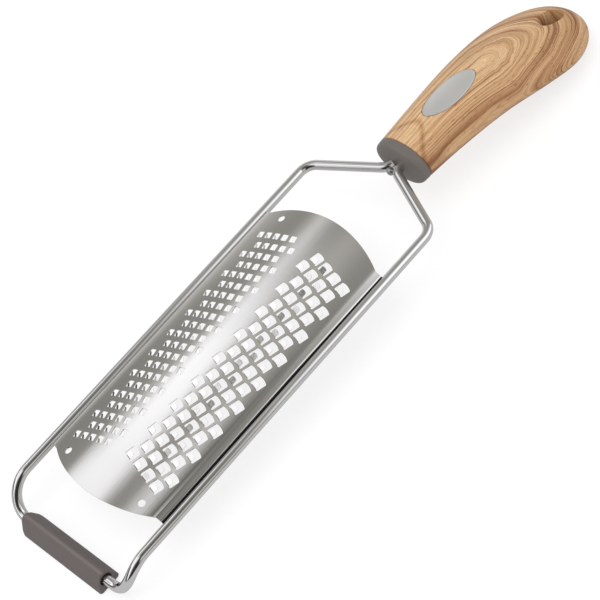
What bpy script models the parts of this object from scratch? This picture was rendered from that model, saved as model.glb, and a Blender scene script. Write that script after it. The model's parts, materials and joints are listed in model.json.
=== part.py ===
# Hand grater: an arched two-zone steel plate in a bent wire frame, with a foot and a wood-look handle.
# Working frame: x runs from the foot to the handle, y across, z up from the plane of the wire rails,
# with x = 0 at the middle of the plate. The finished grater is then laid on its foot and its handle.
import math

import bmesh
import bpy
from mathutils import Matrix, Vector
from mathutils.geometry import interpolate_bezier

mm = 0.001
gap = 0.3 * mm
cut_overrun = 2.0 * mm
weld_distance = 0.002 * mm

# Frame wire, sizes of its centre line
wire_diameter = 4.0 * mm
rail_spacing = 66.0 * mm
shoulder_room = 18.35 * mm
shoulder_bend = 7.0 * mm
neck_reach = 14.8 * mm
neck_bend = 4.0 * mm
tang_length = 33.5 * mm
leg_room = 13.75 * mm
leg_angle = math.radians(66.5)
leg_bend_reach = 9.0 * mm
leg_steps = 14
foot_drop = 11.1 * mm
foot_bend_reach = 9.3 * mm
bend_step = math.radians(13.0)
wire_side_steps = 4

# Grater plate, sizes of its middle surface
sheet_thickness = 0.8 * mm
plate_length = 137.9 * mm
plate_end_bulge = 7.65 * mm
end_bow_width = 56.8 * mm
arch_height = 6.2 * mm
arch_radius = 94.9 * mm
arch_strips = 6
lip_bend = 1.2 * mm
lip_bend_strips = 4
lip_drop = 2.6 * mm
lip_corner_cut = 0.8 * mm
end_arc_steps = 16
corner_hole_diameter = 3.0 * mm
corner_hole_margin = 8.48 * mm
corner_hole_s = 20.66 * mm
corner_hole_sides = 10

# Coarse teeth: rows of 4 on the -y side, as many as the plate takes
coarse_per_row = 4
coarse_margin = 16.38 * mm
coarse_first_s = -6.84 * mm
coarse_step_x = -1.511 * mm
coarse_step_s = -5.486 * mm
coarse_row_x = -5.201 * mm
coarse_row_s = 2.744 * mm
coarse_turn = math.radians(-15.4)
coarse_length = 4.5 * mm
coarse_width = 4.7 * mm
coarse_bow = 0.7 * mm
coarse_bow_share = 0.45
coarse_tooth_width = 2.4 * mm
coarse_reach = 2.1 * mm
coarse_rise = 0.9 * mm
coarse_tip_share = 0.85

# Fine teeth: rows of 5 on the +y side
fine_per_row = 5
fine_margin = 17.95 * mm
fine_first_s = 23.56 * mm
fine_step_x = 0.936 * mm
fine_step_s = -3.9 * mm
fine_row_x = -5.2135 * mm
fine_stagger_x = 0.69 * mm
fine_stagger_s = -3.055 * mm
fine_turn = math.radians(13.5)
fine_length = 3.0 * mm
fine_width = 2.8 * mm
fine_tooth_width = 1.3 * mm
fine_reach = 1.4 * mm
fine_rise = 0.8 * mm
fine_tip_share = 0.25
tooth_ramp = 0.6 * mm
tooth_root = 0.15 * mm
tooth_edge = 0.25 * mm

# Weld beads
plate_weld_length = 8.0 * mm
plate_weld_diameter = 1.2 * mm
plate_weld_margin = 22.95 * mm
plate_welds_per_side = 3
plate_weld_sides = 10
neck_weld_length = 3.0 * mm
neck_weld_width = 3.6 * mm
neck_weld_height = 3.4 * mm
neck_weld_back = 0.9 * mm
neck_weld_sides = 16
neck_weld_rings = 10

# Foot sleeve on the cross bar: half widths of its section at heights over the bar
foot_heights = [-4.95 * mm, -4.15 * mm, -1.55 * mm, 2.5 * mm, 3.65 * mm, 4.3 * mm]
foot_half_widths = [4.25 * mm, 5.0 * mm, 4.4 * mm, 2.6 * mm, 1.65 * mm, 0.6 * mm]
foot_length = 45.2 * mm
foot_offset = 2.6 * mm
foot_open_edge = 0.4 * mm
foot_end_chamfer = 1.8 * mm
foot_end_share = 0.74
foot_recess_width = 7.0 * mm
foot_recess_depth = 3.0 * mm
foot_bore_sides = 16

# Ferrule
ferrule_room = 2.8 * mm
ferrule_length = 5.3 * mm
ferrule_distances = [0.0, 0.15 * mm, 0.6 * mm, 1.2 * mm, 1.6 * mm]
ferrule_width_shares = [0.24, 0.47, 0.73, 0.92, 0.953]
ferrule_height_shares = [0.24, 0.47, 0.735, 0.93, 0.97]
spigot_length = 10.0 * mm
spigot_width = 15.0 * mm
spigot_height = 9.2 * mm
spigot_drop = 0.4 * mm
socket_end_room = 2.0 * mm

# Handle: sections at shares of its length, before the butt is rounded off
handle_length = 100.2 * mm
handle_shares = [0.0, 0.16, 0.41, 0.64, 0.82, 1.0]
handle_root_width = 25.4 * mm
handle_width_shares = [1.0, 1.045, 1.29, 1.574, 1.747, 1.828]
handle_root_height = 19.6 * mm
handle_height_shares = [1.0, 1.02, 1.03, 1.03, 1.08, 1.22]
handle_droop = 18.9 * mm
handle_droop_shares = [0.0, 0.012, 0.208, 0.506, 0.762, 1.0]
handle_root_drop = 1.4 * mm
butt_round_share = 0.52
butt_round_power = 2.19
handle_rings = 26
ring_spread_power = 1.6
section_sides = 32

# Badge let into the top of the handle
badge_distance = 29.3 * mm
badge_length = 28.8 * mm
badge_width = 11.7 * mm
badge_thickness = 0.8 * mm
badge_proud = 0.15 * mm
badge_ring_shares = [0.0, 0.4, 0.75, 1.0]
badge_sides = 36

# Hanging hole through the butt
hole_margin = 12.5 * mm
hole_throat_length = 9.6 * mm
hole_throat_width = 7.4 * mm
hole_mouth_length = 13.6 * mm
hole_mouth_width = 10.6 * mm
hole_turn = math.radians(17.0)
hole_flare_share = 0.3
hole_sides = 24

# Places along the grater, from the middle of the plate
plate_end_x = plate_length / 2
corner_hole_x = plate_end_x - corner_hole_margin
coarse_first_x = plate_end_x - coarse_margin
fine_first_x = plate_end_x - fine_margin
shoulder_x = plate_end_x + shoulder_room
neck_x = shoulder_x + neck_reach
tang_end_x = neck_x + tang_length
ferrule_front_x = neck_x + ferrule_room
seam_x = ferrule_front_x + ferrule_length
spigot_end_x = seam_x + spigot_length
leg_corner_x = -(plate_end_x + leg_room)
bar_x = leg_corner_x - foot_drop / math.tan(leg_angle)

# Worked out from the sizes above
wire_radius = wire_diameter / 2
rail_y = rail_spacing / 2
tang_y = (wire_diameter + gap) / 2
lip_y = rail_y - wire_radius - gap - sheet_thickness / 2
hole_distance = handle_length - hole_margin
plate_weld_pitch = (plate_length - 2 * plate_weld_margin) / (plate_welds_per_side - 1)
coarse_row_advance = -(coarse_row_x + coarse_step_x / 2)
coarse_span = 2 * coarse_first_x + (coarse_per_row - 1) * coarse_step_x
coarse_rows = 1 + round(coarse_span / coarse_row_advance)
fine_rows = 1 + round(2 * fine_first_x / -fine_row_x)


def new_material(name, colour, roughness, metallic):
    material = bpy.data.materials.new(name)
    material.use_nodes = True
    shader = material.node_tree.nodes["Principled BSDF"]
    shader.inputs["Base Color"].default_value = (*colour, 1.0)
    shader.inputs["Roughness"].default_value = roughness
    shader.inputs["Metallic"].default_value = metallic
    return material


def new_object(name, data, collection):
    item = bpy.data.objects.new(name, data)
    collection.objects.link(item)
    return item


def mesh_object(name, bm, collection):
    mesh = bpy.data.meshes.new(name)
    bm.to_mesh(mesh)
    bm.free()
    return new_object(name, mesh, collection)


def new_cutter(name, bm, cutters):
    cutter = mesh_object(name, bm, cutters)
    cutter.hide_render = True
    cutter.display_type = "WIRE"
    return cutter


def boolean(item, cutter, operation="DIFFERENCE"):
    modifier = item.modifiers.new(cutter.name, "BOOLEAN")
    modifier.operation = operation
    modifier.solver = "EXACT"
    modifier.object = cutter


def evaluated_mesh(item):
    graph = bpy.context.evaluated_depsgraph_get()
    return bpy.data.meshes.new_from_object(item.evaluated_get(graph))


def finish_part(item, material, assembly, sharp_angle=math.radians(35.0)):
    item.data.materials.clear()
    item.data.materials.append(material)
    item.parent = assembly
    if item.type == "MESH":
        item.data.shade_smooth()
        item.data.set_sharp_from_angle(angle=sharp_angle)


# Closed loft through rings of equal count, capped at both ends
def loft(rings):
    bm = bmesh.new()
    loops = [[bm.verts.new(point) for point in ring] for ring in rings]
    for lower, upper in zip(loops, loops[1:]):
        count = len(lower)
        for i in range(count):
            j = (i + 1) % count
            bm.faces.new((lower[i], lower[j], upper[j], upper[i]))
    bm.faces.new(reversed(loops[0]))
    bm.faces.new(loops[-1])
    bmesh.ops.recalc_face_normals(bm, faces=bm.faces)
    return bm


# Oval in a plane of constant x
def oval_ring(x, half_width, half_height, z=0.0, count=section_sides):
    ring = []
    for i in range(count):
        turn = 2 * math.pi * i / count
        ring.append(Vector((x, half_width * math.cos(turn), z + half_height * math.sin(turn))))
    return ring


# Two round holes side by side and the web between them, as one slot in a plane of constant x
def slot_ring(x, radius, half_spacing, quarter_steps=6):
    ring = []
    for side in (1, -1):
        for i in range(2 * quarter_steps + 1):
            turn = math.pi * (i / (2 * quarter_steps) - 0.5)
            y = side * (half_spacing + radius * math.cos(turn))
            ring.append(Vector((x, y, side * radius * math.sin(turn))))
    return ring


# Points of a path with its corners rounded off
def rounded_path(corners, bends):
    path = [corners[0]]
    for before, corner, after, bend in zip(corners, corners[1:], corners[2:], bends):
        arrive = (corner - before).normalized()
        leave = (after - corner).normalized()
        turn = arrive.angle(leave)
        reach = bend * math.tan(turn / 2)
        axis = arrive.cross(leave).normalized()
        inward = axis.cross(arrive)
        start = corner - arrive * reach
        centre = start + inward * bend
        steps = max(2, math.ceil(turn / bend_step))
        for i in range(steps + 1):
            path.append(centre + Matrix.Rotation(turn * i / steps, 3, axis) @ (start - centre))
    path.append(corners[-1])
    return path


# From a rail down to the cross bar the wire turns two ways at once
def leg_path():
    start = Vector((leg_corner_x + leg_bend_reach, rail_y, 0))
    end = Vector((bar_x, rail_y - foot_bend_reach, -foot_drop))
    rail_corner = Vector((leg_corner_x, rail_y, 0))
    bar_corner = Vector((bar_x, rail_y, -foot_drop))
    return interpolate_bezier(start, rail_corner, bar_corner, end, leg_steps)


def wire_path():
    front = [
        Vector((tang_end_x, tang_y, 0)),
        Vector((neck_x, tang_y, 0)),
        Vector((shoulder_x, rail_y, 0)),
        Vector((leg_corner_x + leg_bend_reach, rail_y, 0)),
    ]
    half = rounded_path(front, [neck_bend, shoulder_bend])[:-1] + leg_path()
    return half + [Vector((point.x, -point.y, point.z)) for point in reversed(half)]


def wire_mesh(radius, side_steps):
    points = wire_path()
    curve = bpy.data.curves.new("wire_route", "CURVE")
    curve.dimensions = "3D"
    curve.bevel_depth = radius
    curve.bevel_resolution = side_steps
    curve.use_fill_caps = True
    spline = curve.splines.new("POLY")
    spline.points.add(len(points) - 1)
    for place, point in zip(spline.points, points):
        place.co = (*point, 1.0)
    route = bpy.data.objects.new("wire_route", curve)
    bpy.context.scene.collection.objects.link(route)
    mesh = evaluated_mesh(route)
    bpy.data.objects.remove(route)
    bm = bmesh.new()
    bm.from_mesh(mesh)
    bmesh.ops.remove_doubles(bm, verts=bm.verts, dist=weld_distance)
    bmesh.ops.recalc_face_normals(bm, faces=bm.faces)
    bpy.data.meshes.remove(mesh)
    return bm


# Section of the plate from its middle to one lip: the turn and the length of each stretch
def section_stretches():
    quarter = math.pi / 2
    arch_angle = math.asin((lip_y - lip_bend) / (arch_radius - lip_bend))
    arch_fall = arch_radius * (1 - math.cos(arch_angle))
    lip_length = arch_height - arch_fall - lip_bend * math.cos(arch_angle) + lip_drop
    return [
        (arch_angle, arch_radius * arch_angle, arch_strips // 2),
        (quarter - arch_angle, lip_bend * (quarter - arch_angle), lip_bend_strips),
        (0.0, lip_length, 1),
    ]


# Distances along the sheet at which a flat strip ends, on one side of the middle
def strip_ends(stretches):
    ends, start = [], 0.0
    for _, length, strips in stretches:
        ends += [start + length * (i + 1) / strips for i in range(strips)]
        start += length
    return ends


# Place on the bent sheet of a point of the flat blank
def bent_point(flat, stretches):
    side = 1 if flat.y >= 0 else -1
    left, y, z, slope = abs(flat.y), 0.0, arch_height, 0.0
    for turn, length, _ in stretches:
        run = min(left, length)
        if turn:
            radius = length / turn
            after = slope + run / radius
            y += radius * (math.sin(after) - math.sin(slope))
            z -= radius * (math.cos(slope) - math.cos(after))
            slope = after
        else:
            y += run * math.cos(slope)
            z -= run * math.sin(slope)
        left -= run
        if left <= 0:
            break
    y += left * math.cos(slope)
    z -= left * math.sin(slope)
    outward = Vector((0, math.sin(slope), math.cos(slope)))
    place = Vector((flat.x, y, z)) + outward * flat.z
    return Vector((place.x, side * place.y, place.z))


def coarse_holes():
    for row in range(coarse_rows):
        for i in range(row // 2, row // 2 + coarse_per_row):
            x = coarse_first_x + i * coarse_step_x + row * coarse_row_x
            s = coarse_first_s + i * coarse_step_s + row * coarse_row_s
            yield Vector((x, s, 0))


def fine_holes():
    for row in range(fine_rows):
        for i in range(fine_per_row):
            odd = row % 2
            x = fine_first_x + i * fine_step_x + row * fine_row_x + odd * fine_stagger_x
            s = fine_first_s + i * fine_step_s + odd * fine_stagger_s
            yield Vector((x, s, 0))


def corner_holes():
    for end, side in ((1, 1), (-1, 1), (-1, -1)):
        yield Vector((end * corner_hole_x, side * corner_hole_s, 0))


def turned(points, centre, angle):
    turn = Matrix.Rotation(angle, 3, "Z")
    return [centre + turn @ Vector(point) for point in points]


def coarse_outline():
    back, front, side = -coarse_length / 2, coarse_length / 2, coarse_width / 2
    shoulder = side * coarse_bow_share
    return [(back, -side, 0), (front - coarse_bow, -side, 0), (front, -shoulder, 0),
            (front, shoulder, 0), (front - coarse_bow, side, 0), (back, side, 0)]


def fine_outline():
    end, side = fine_length / 2, fine_width / 2
    return [(-end, -side, 0), (end, -side, 0), (end, side, 0), (-end, side, 0)]


def round_outline(diameter, sides):
    radius = diameter / 2
    turns = [2 * math.pi * i / sides for i in range(sides)]
    return [(radius * math.cos(turn), radius * math.sin(turn), 0) for turn in turns]


# Outline of the flat blank: bowed ends, square edges, lips with their lower corners cut
def blank_outline(stretches):
    bow_s = end_bow_width / 2
    edge_s = sum(length for _, length, _ in stretches)
    bow_radius = (bow_s ** 2 + plate_end_bulge ** 2) / (2 * plate_end_bulge)
    bow_angle = math.asin(bow_s / bow_radius)
    corner_x = plate_end_x - plate_end_bulge
    end = [(corner_x - lip_corner_cut, -edge_s, 0), (corner_x, -edge_s + lip_corner_cut, 0)]
    for i in range(end_arc_steps + 1):
        turn = bow_angle * (2 * i / end_arc_steps - 1)
        x = plate_end_x - bow_radius * (1 - math.cos(turn))
        end.append((x, bow_radius * math.sin(turn), 0))
    end += [(x, -s, z) for x, s, z in reversed(end[:2])]
    return end + [(-x, -s, z) for x, s, z in end]


def add_outline(curve, points):
    spline = curve.splines.new("POLY")
    spline.points.add(len(points) - 1)
    for place, point in zip(spline.points, points):
        place.co = (point[0], point[1], 0, 1.0)
    spline.use_cyclic_u = True


# A tooth is a tongue bent up out of its hole, from the foot side towards the handle
def add_tooth(bm, centre, angle, hole_length, width, reach, rise, tip_share):
    edge = -hole_length / 2
    root, tip = width / 2, width * tip_share / 2
    height = sheet_thickness / 2 + rise
    corners = []
    for side in (1, -1):
        corners += [(edge - tooth_root - tooth_ramp, side * root, 0), (edge - tooth_root, side * root, 0),
                    (edge + reach, side * tip, height - tooth_edge), (edge + reach, side * tip, height)]
    verts = [bm.verts.new(point) for point in turned(corners, centre, angle)]
    bmesh.ops.convex_hull(bm, input=verts)


def build_plate(parts, cutters, assembly, steel):
    stretches = section_stretches()
    curve = bpy.data.curves.new("plate_blank", "CURVE")
    curve.dimensions = "2D"
    curve.fill_mode = "BOTH"
    curve.extrude = sheet_thickness / 2
    add_outline(curve, blank_outline(stretches))
    for centre in coarse_holes():
        add_outline(curve, turned(coarse_outline(), centre, coarse_turn))
    for centre in fine_holes():
        add_outline(curve, turned(fine_outline(), centre, fine_turn))
    for centre in corner_holes():
        add_outline(curve, turned(round_outline(corner_hole_diameter, corner_hole_sides), centre, 0.0))
    blank = new_object("plate_blank", curve, cutters)
    mesh = evaluated_mesh(blank)
    bpy.data.objects.remove(blank)
    bm = bmesh.new()
    bm.from_mesh(mesh)
    bmesh.ops.remove_doubles(bm, verts=bm.verts, dist=weld_distance)
    bmesh.ops.recalc_face_normals(bm, faces=bm.faces)
    bm.to_mesh(mesh)
    bm.free()
    plate = new_object("grater_plate", mesh, parts)

    teeth = bmesh.new()
    for centre in coarse_holes():
        add_tooth(teeth, centre, coarse_turn, coarse_length, coarse_tooth_width, coarse_reach, coarse_rise,
                  coarse_tip_share)
    for centre in fine_holes():
        add_tooth(teeth, centre, fine_turn, fine_length, fine_tooth_width, fine_reach, fine_rise,
                  fine_tip_share)
    teeth_object = new_cutter("plate_teeth", teeth, cutters)
    boolean(plate, teeth_object, "UNION")
    toothed = evaluated_mesh(plate)
    plate.modifiers.clear()
    bpy.data.objects.remove(teeth_object)

    bm = bmesh.new()
    bm.from_mesh(toothed)
    bmesh.ops.triangulate(bm, faces=bm.faces)
    ends = strip_ends(stretches)[:-1]
    for s in [0.0] + ends + [-end for end in ends]:
        everything = bm.verts[:] + bm.edges[:] + bm.faces[:]
        bmesh.ops.bisect_plane(bm, geom=everything, dist=weld_distance, plane_co=(0, s, 0), plane_no=(0, 1, 0))
    bmesh.ops.triangulate(bm, faces=bm.faces)
    for vert in bm.verts:
        vert.co = bent_point(vert.co, stretches)
    bm.to_mesh(toothed)
    bm.free()
    plate.data = toothed
    finish_part(plate, steel, assembly, math.radians(20.0))
    return plate


def build_wire(parts, assembly, steel):
    wire = mesh_object("frame_wire", wire_mesh(wire_radius, wire_side_steps), parts)
    finish_part(wire, steel, assembly, math.radians(50.0))
    return wire


# Short beads in the valley between each lip and its rail
def build_plate_welds(parts, assembly, weld_steel):
    bead_radius = plate_weld_diameter / 2
    bead_y = lip_y + sheet_thickness / 2 + gap + bead_radius
    reach = wire_radius + gap + bead_radius
    bead_z = -math.sqrt(reach ** 2 - (rail_y - bead_y) ** 2)
    welds = []
    for side, side_name in ((1, "fine"), (-1, "coarse")):
        for i in range(plate_welds_per_side):
            bm = bmesh.new()
            bmesh.ops.create_cone(bm, cap_ends=True, segments=plate_weld_sides, radius1=bead_radius,
                                  radius2=bead_radius, depth=plate_weld_length)
            weld = mesh_object(f"plate_weld_{side_name}_side_{i + 1}", bm, parts)
            x = (i - (plate_welds_per_side - 1) / 2) * plate_weld_pitch
            weld.location = (x, side * bead_y, bead_z)
            weld.rotation_euler = (0, math.pi / 2, 0)
            finish_part(weld, weld_steel, assembly)
            welds.append(weld)
    return welds


# Bead in the crotch where the two wires come together, cut to fit round them
def build_neck_weld(parts, cutters, assembly, weld_steel):
    bm = bmesh.new()
    bmesh.ops.create_uvsphere(bm, u_segments=neck_weld_sides, v_segments=neck_weld_rings,
                              radius=neck_weld_length / 2)
    stretch = Vector((1.0, neck_weld_width / neck_weld_length, neck_weld_height / neck_weld_length))
    bmesh.ops.scale(bm, vec=stretch, verts=bm.verts)
    bmesh.ops.translate(bm, vec=(neck_x - neck_weld_back, 0, 0), verts=bm.verts)
    weld = mesh_object("neck_weld", bm, parts)
    clearance = new_cutter("wire_clearance", wire_mesh(wire_radius + gap, wire_side_steps), cutters)
    boolean(weld, clearance)
    finish_part(weld, weld_steel, assembly)
    return weld


# Ring of the foot's section in a plane of constant y, drawn in towards the bar by a share
def foot_ring(y, share=1.0):
    section = list(zip(foot_half_widths, foot_heights))
    outline = section + [(-x, z) for x, z in reversed(section)]
    return [Vector((x * share, y, z * share)) for x, z in outline]


def build_foot(parts, cutters, assembly, rubber):
    open_end, closed_end = foot_offset - foot_length / 2, foot_offset + foot_length / 2
    foot = mesh_object("foot_sleeve", loft([
        foot_ring(open_end, 1 - foot_open_edge / foot_half_widths[1]),
        foot_ring(open_end + foot_open_edge),
        foot_ring(closed_end - foot_end_chamfer),
        foot_ring(closed_end, foot_end_share)]), parts)
    foot.location = (bar_x, 0, -foot_drop)

    bore = bmesh.new()
    along_y = Matrix.Rotation(math.pi / 2, 4, "X")
    bore_radius = wire_radius + gap
    bore_length = foot_length + 2 * foot_offset + cut_overrun
    bmesh.ops.create_cone(bore, cap_ends=True, segments=foot_bore_sides, radius1=bore_radius,
                          radius2=bore_radius, depth=bore_length, matrix=along_y)
    bore_cutter = new_cutter("foot_bore", bore, cutters)
    recess = bmesh.new()
    place = Matrix.Translation((0, open_end, 0)) @ along_y
    bmesh.ops.create_cone(recess, cap_ends=True, segments=foot_bore_sides, radius1=bore_radius + gap,
                          radius2=foot_recess_width / 2, depth=2 * foot_recess_depth, matrix=place)
    recess_cutter = new_cutter("foot_recess", recess, cutters)
    for cutter in (bore_cutter, recess_cutter):
        cutter.location = foot.location
        boolean(foot, cutter)
    finish_part(foot, rubber, assembly)
    return foot


def smooth_value(shares, values, share):
    i = 0
    while i < len(shares) - 2 and share > shares[i + 1]:
        i += 1

    def slope(k):
        low, high = max(k - 1, 0), min(k + 1, len(shares) - 1)
        return (values[high] - values[low]) / (shares[high] - shares[low])

    span = shares[i + 1] - shares[i]
    t = (share - shares[i]) / span
    rise = (2 * t ** 3 - 3 * t ** 2 + 1) * values[i] + (3 * t ** 2 - 2 * t ** 3) * values[i + 1]
    return rise + span * ((t ** 3 - 2 * t ** 2 + t) * slope(i) + (t ** 3 - t ** 2) * slope(i + 1))


# Half width, half height and centre height of the handle at a share of its length
def handle_section(share):
    closing = max(0.0, (share - butt_round_share) / (1 - butt_round_share))
    cap = (1 - min(closing, 1.0) ** butt_round_power) ** (1 / butt_round_power)
    half_width = handle_root_width / 2 * smooth_value(handle_shares, handle_width_shares, share) * cap
    half_height = handle_root_height / 2 * smooth_value(handle_shares, handle_height_shares, share) * cap
    centre = -handle_root_drop - handle_droop * smooth_value(handle_shares, handle_droop_shares, share)
    return half_width, half_height, centre


# Height of the handle's upper skin
def handle_top(x, y):
    half_width, half_height, centre = handle_section((x - seam_x) / handle_length)
    return centre + half_height * math.sqrt(max(0.0, 1 - (y / half_width) ** 2))


# Oval patch that follows the handle's upper skin at a given height over it
def badge_patch(margin, height):
    bm = bmesh.new()
    verts = [bm.verts.new((share, 0, 0)) for share in badge_ring_shares]
    edges = [bm.edges.new(pair) for pair in zip(verts, verts[1:])]
    bmesh.ops.spin(bm, geom=verts + edges, cent=(0, 0, 0), axis=(0, 0, 1), angle=2 * math.pi,
                   steps=badge_sides, use_duplicate=False)
    for vert in bm.verts:
        vert.co.x *= badge_length / 2 + margin
        vert.co.y *= badge_width / 2 + margin
    bmesh.ops.remove_doubles(bm, verts=bm.verts, dist=weld_distance)
    for vert in bm.verts:
        x = seam_x + badge_distance + vert.co.x
        vert.co = Vector((x, vert.co.y, handle_top(x, vert.co.y) + height))
    bmesh.ops.recalc_face_normals(bm, faces=bm.faces)
    if sum(face.normal.z for face in bm.faces) < 0:
        bmesh.ops.reverse_faces(bm, faces=bm.faces)
    return bm


def solidify(item, thickness):
    modifier = item.modifiers.new("wall", "SOLIDIFY")
    modifier.thickness = thickness
    modifier.offset = -1
    modifier.use_even_offset = True


def hanging_hole_rings():
    share = hole_distance / handle_length
    _, half_height, centre = handle_section(share)
    tilt = Matrix.Rotation(hole_turn, 3, "Y")
    reach = half_height + cut_overrun
    heights = [-reach, -half_height * hole_flare_share, half_height * hole_flare_share, reach]
    mouth, throat = (hole_mouth_length, hole_mouth_width), (hole_throat_length, hole_throat_width)
    rings = []
    for height, (length, width) in zip(heights, (mouth, throat, throat, mouth)):
        outline = [Vector((length / 2 * math.cos(turn), width / 2 * math.sin(turn), height))
                   for turn in [2 * math.pi * i / hole_sides for i in range(hole_sides)]]
        rings.append([Vector((seam_x + hole_distance, 0, centre)) + tilt @ point for point in outline])
    return rings


def build_handle(parts, cutters, assembly, wood):
    rings = []
    for i in range(handle_rings):
        share = 1 - (1 - i / handle_rings) ** ring_spread_power
        half_width, half_height, centre = handle_section(share)
        rings.append(oval_ring(seam_x + gap + share * (handle_length - gap), half_width, half_height, centre))
    handle = mesh_object("handle_body", loft(rings), parts)
    socket_half_width = spigot_width / 2 + gap
    socket_half_height = spigot_height / 2 + gap
    socket_end = tang_end_x + socket_end_room
    socket = loft([oval_ring(seam_x - cut_overrun, socket_half_width, socket_half_height, -spigot_drop),
                   oval_ring(socket_end, socket_half_width, socket_half_height, -spigot_drop)])
    boolean(handle, new_cutter("handle_socket", socket, cutters))
    pocket = new_cutter("badge_pocket", badge_patch(gap, badge_proud + gap), cutters)
    solidify(pocket, badge_thickness + 2 * gap)
    boolean(handle, pocket)
    boolean(handle, new_cutter("hanging_hole", loft(hanging_hole_rings()), cutters))
    finish_part(handle, wood, assembly)
    return handle


def build_badge(parts, assembly, silver):
    badge = mesh_object("badge", badge_patch(0.0, badge_proud), parts)
    solidify(badge, badge_thickness)
    finish_part(badge, silver, assembly)
    return badge


def build_ferrule(parts, cutters, assembly, collar):
    half_width, half_height, centre = handle_section(0.0)
    rings = []
    for distance, wide, high in zip(ferrule_distances, ferrule_width_shares, ferrule_height_shares):
        rings.append(oval_ring(ferrule_front_x + distance, half_width * wide, half_height * high, centre))
    rings.append(oval_ring(seam_x, half_width, half_height, centre))
    rings.append(oval_ring(seam_x, spigot_width / 2, spigot_height / 2, -spigot_drop))
    rings.append(oval_ring(spigot_end_x, spigot_width / 2, spigot_height / 2, -spigot_drop))
    ferrule = mesh_object("ferrule", loft(rings), parts)
    slot = loft([slot_ring(ferrule_front_x - cut_overrun, wire_radius + gap, tang_y),
                 slot_ring(spigot_end_x + cut_overrun, wire_radius + gap, tang_y)])
    boolean(ferrule, new_cutter("ferrule_slot", slot, cutters))
    finish_part(ferrule, collar, assembly)
    return ferrule


# Glue fills the socket behind the spigot and closes round the two wire ends
def build_tang_adhesive(parts, cutters, assembly, glue):
    start = spigot_end_x + gap
    end = tang_end_x + socket_end_room - gap
    plug = mesh_object("tang_adhesive", loft([
        oval_ring(start, spigot_width / 2, spigot_height / 2, -spigot_drop),
        oval_ring(end, spigot_width / 2, spigot_height / 2, -spigot_drop)]), parts)
    pocket = loft([slot_ring(start - cut_overrun, wire_radius + gap, tang_y),
                   slot_ring(tang_end_x + gap, wire_radius + gap, tang_y)])
    boolean(plug, new_cutter("tang_pocket", pocket, cutters))
    finish_part(plug, glue, assembly)
    return plug


def world_points(items):
    graph = bpy.context.evaluated_depsgraph_get()
    points = []
    for item in items:
        evaluated = item.evaluated_get(graph)
        points += [evaluated.matrix_world @ vert.co for vert in evaluated.to_mesh().vertices]
        evaluated.to_mesh_clear()
    return points


# Lays the grater on its foot and its handle, with the origin under the middle of its box
def rest_on_table(assembly, items):
    for _ in range(4):
        bpy.context.view_layer.update()
        points = world_points(items)
        foot_low = min((point for point in points if point.x < 0), key=lambda point: point.z)
        handle_low = min((point for point in points if point.x > 0), key=lambda point: point.z)
        assembly.rotation_euler.y += math.atan2(handle_low.z - foot_low.z, handle_low.x - foot_low.x)
    bpy.context.view_layer.update()
    points = world_points(items)
    middle = [(max(point[k] for point in points) + min(point[k] for point in points)) / 2 for k in (0, 1)]
    assembly.location = (-middle[0], -middle[1], -min(point.z for point in points))
    bpy.context.view_layer.update()


def main():
    for item in list(bpy.data.objects):
        bpy.data.objects.remove(item)
    scene = bpy.context.scene
    parts = bpy.data.collections.new("hand_grater")
    cutters = bpy.data.collections.new("cutters")
    scene.collection.children.link(parts)
    scene.collection.children.link(cutters)
    assembly = new_object("assembly", None, parts)

    sheet_steel = new_material("sheet_steel", (0.40, 0.39, 0.37), 0.3, 1.0)
    wire_steel = new_material("wire_steel", (0.55, 0.55, 0.55), 0.15, 1.0)
    weld_steel = new_material("weld_steel", (0.40, 0.40, 0.40), 0.4, 1.0)
    foot_plastic = new_material("foot_plastic", (0.17, 0.15, 0.14), 0.6, 0.0)
    collar_plastic = new_material("collar_plastic", (0.18, 0.16, 0.15), 0.5, 0.0)
    glue = new_material("glue", (0.60, 0.55, 0.40), 0.4, 0.0)
    wood = new_material("wood", (0.55, 0.34, 0.17), 0.45, 0.0)
    silver = new_material("silver", (0.60, 0.60, 0.61), 0.25, 1.0)

    items = [
        build_plate(parts, cutters, assembly, sheet_steel),
        build_wire(parts, assembly, wire_steel),
        *build_plate_welds(parts, assembly, weld_steel),
        build_neck_weld(parts, cutters, assembly, weld_steel),
        build_foot(parts, cutters, assembly, foot_plastic),
        build_ferrule(parts, cutters, assembly, collar_plastic),
        build_tang_adhesive(parts, cutters, assembly, glue),
        build_handle(parts, cutters, assembly, wood),
        build_badge(parts, assembly, silver),
    ]
    for cutter in cutters.objects:
        cutter.parent = assembly
    rest_on_table(assembly, items)


main()
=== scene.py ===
# Hand grater: looks of the steel, the plastic and the wood-look handle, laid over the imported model
import json
import math

import bpy
from mathutils import Matrix, Vector
from mathutils.geometry import interpolate_bezier
from mathutils.kdtree import KDTree


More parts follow.
